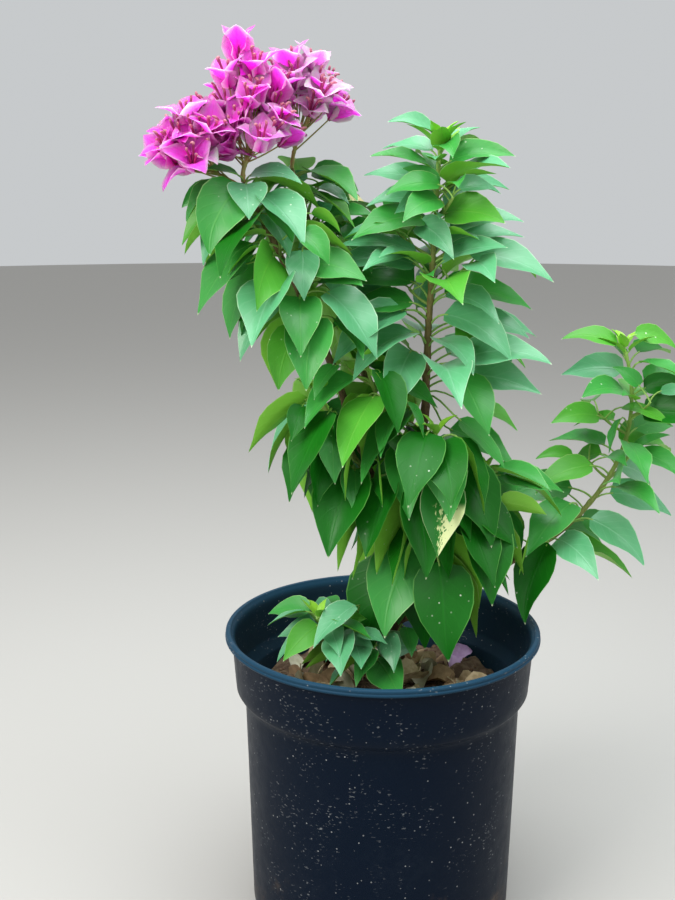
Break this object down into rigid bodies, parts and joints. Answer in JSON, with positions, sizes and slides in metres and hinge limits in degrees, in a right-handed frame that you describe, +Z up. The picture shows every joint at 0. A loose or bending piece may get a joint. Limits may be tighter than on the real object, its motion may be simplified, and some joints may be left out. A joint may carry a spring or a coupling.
{
  "type": "potted bougainvillea bush",
  "caption": "Young flowering bougainvillea bush in a round black nursery pot, with a leafy upright leader, leaning flower stems and one low side bough.",
  "frame": {"origin": "on the ground, at the centre of the pot's flat underside", "axes": "+Z up, -Y towards the side the plant is seen from, +X to the side of the low bough"},
  "size_m": [0.5222, 0.3, 0.8286],
  "materials": {
    "pot": "moulded black polypropylene, dusty and scuffed",
    "soil": "loamy soil under dry leaf litter",
    "bark": "young ridged brown bark",
    "foliage": "smooth waxy leaves with pale margins",
    "blossom": "thin papery bracts with fine veins"
  },
  "bodies": {
    "root": {"pot": "pot", "soil": "soil", "trunk": "bark", "left_bough": "bark", "back_bough": "bark", "right_bough": "bark", "leader_shoot": "foliage", "left_shoot": "foliage", "back_shoot": "foliage", "right_shoot": "foliage", "left_spray": "foliage", "front_spray": "foliage", "right_spray": "foliage", "rear_spray": "foliage", "inner_spray": "foliage", "basal_shoot": "foliage", "main_flower_cluster": "blossom", "left_flower_cluster": "blossom", "right_flower_cluster": "blossom"}
  },
  "joints": []
}
